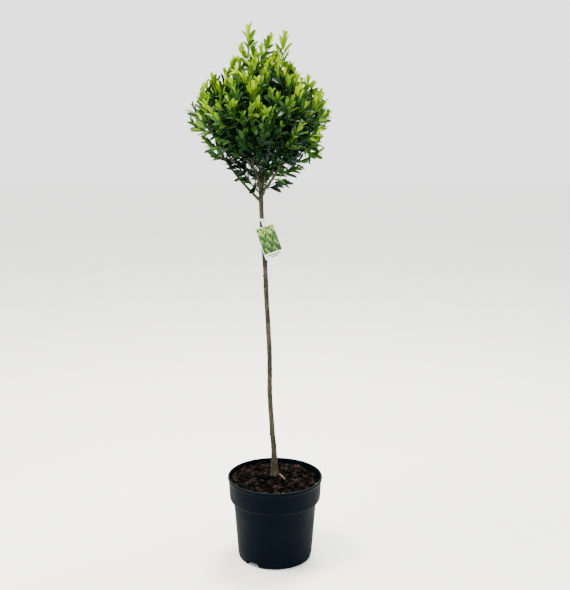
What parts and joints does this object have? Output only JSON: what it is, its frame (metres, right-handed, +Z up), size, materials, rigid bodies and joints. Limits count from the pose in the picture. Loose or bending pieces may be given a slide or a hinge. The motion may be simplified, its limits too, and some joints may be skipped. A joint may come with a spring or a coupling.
{
  "type": "standard lollipop topiary",
  "caption": "Standard shrub with a clipped, roughly diamond-shaped leafy head on a clear stem, growing in a black round nursery pot topped with bark and carrying a plain hang tag.",
  "frame": {"origin": "Centre of the pot's flat underside, the face the plant stands on.", "axes": "+X to the right as seen from the front, +Y away from the viewer to the back, +Z up along the plant's height."},
  "size_m": [0.3255, 0.3279, 1.328],
  "materials": {
    "pot_plastic": "moulded black polypropylene with a faint sheen",
    "bark_mulch": "loose composted bark chips",
    "bark": "young grey-brown bark with small nodes",
    "bough_bark": "smooth olive-brown bark",
    "leaves": "glossy mid-green leaves",
    "young_leaves": "glossy yellow-green young leaves",
    "shaded_leaves": "dark green leaves of the shaded foot",
    "tag_card": "smooth white coated card"
  },
  "bodies": {
    "root": {"pot": "pot_plastic", "soil": "bark_mulch", "trunk": "bark", "bough_left": "bough_bark", "bough_front_left": "bough_bark", "bough_front_right": "bough_bark", "bough_right": "bough_bark", "bough_back_right": "bough_bark", "bough_back_left": "bough_bark", "foliage_left": "leaves", "foliage_front_left": "leaves", "foliage_front_right": "leaves", "foliage_right": "leaves", "foliage_back_right": "leaves", "foliage_back_left": "leaves", "foliage_top": "young_leaves", "foliage_foot_left": "shaded_leaves", "foliage_foot_right": "shaded_leaves", "foliage_foot_back": "shaded_leaves", "hang_tag": "tag_card"}
  },
  "joints": []
}
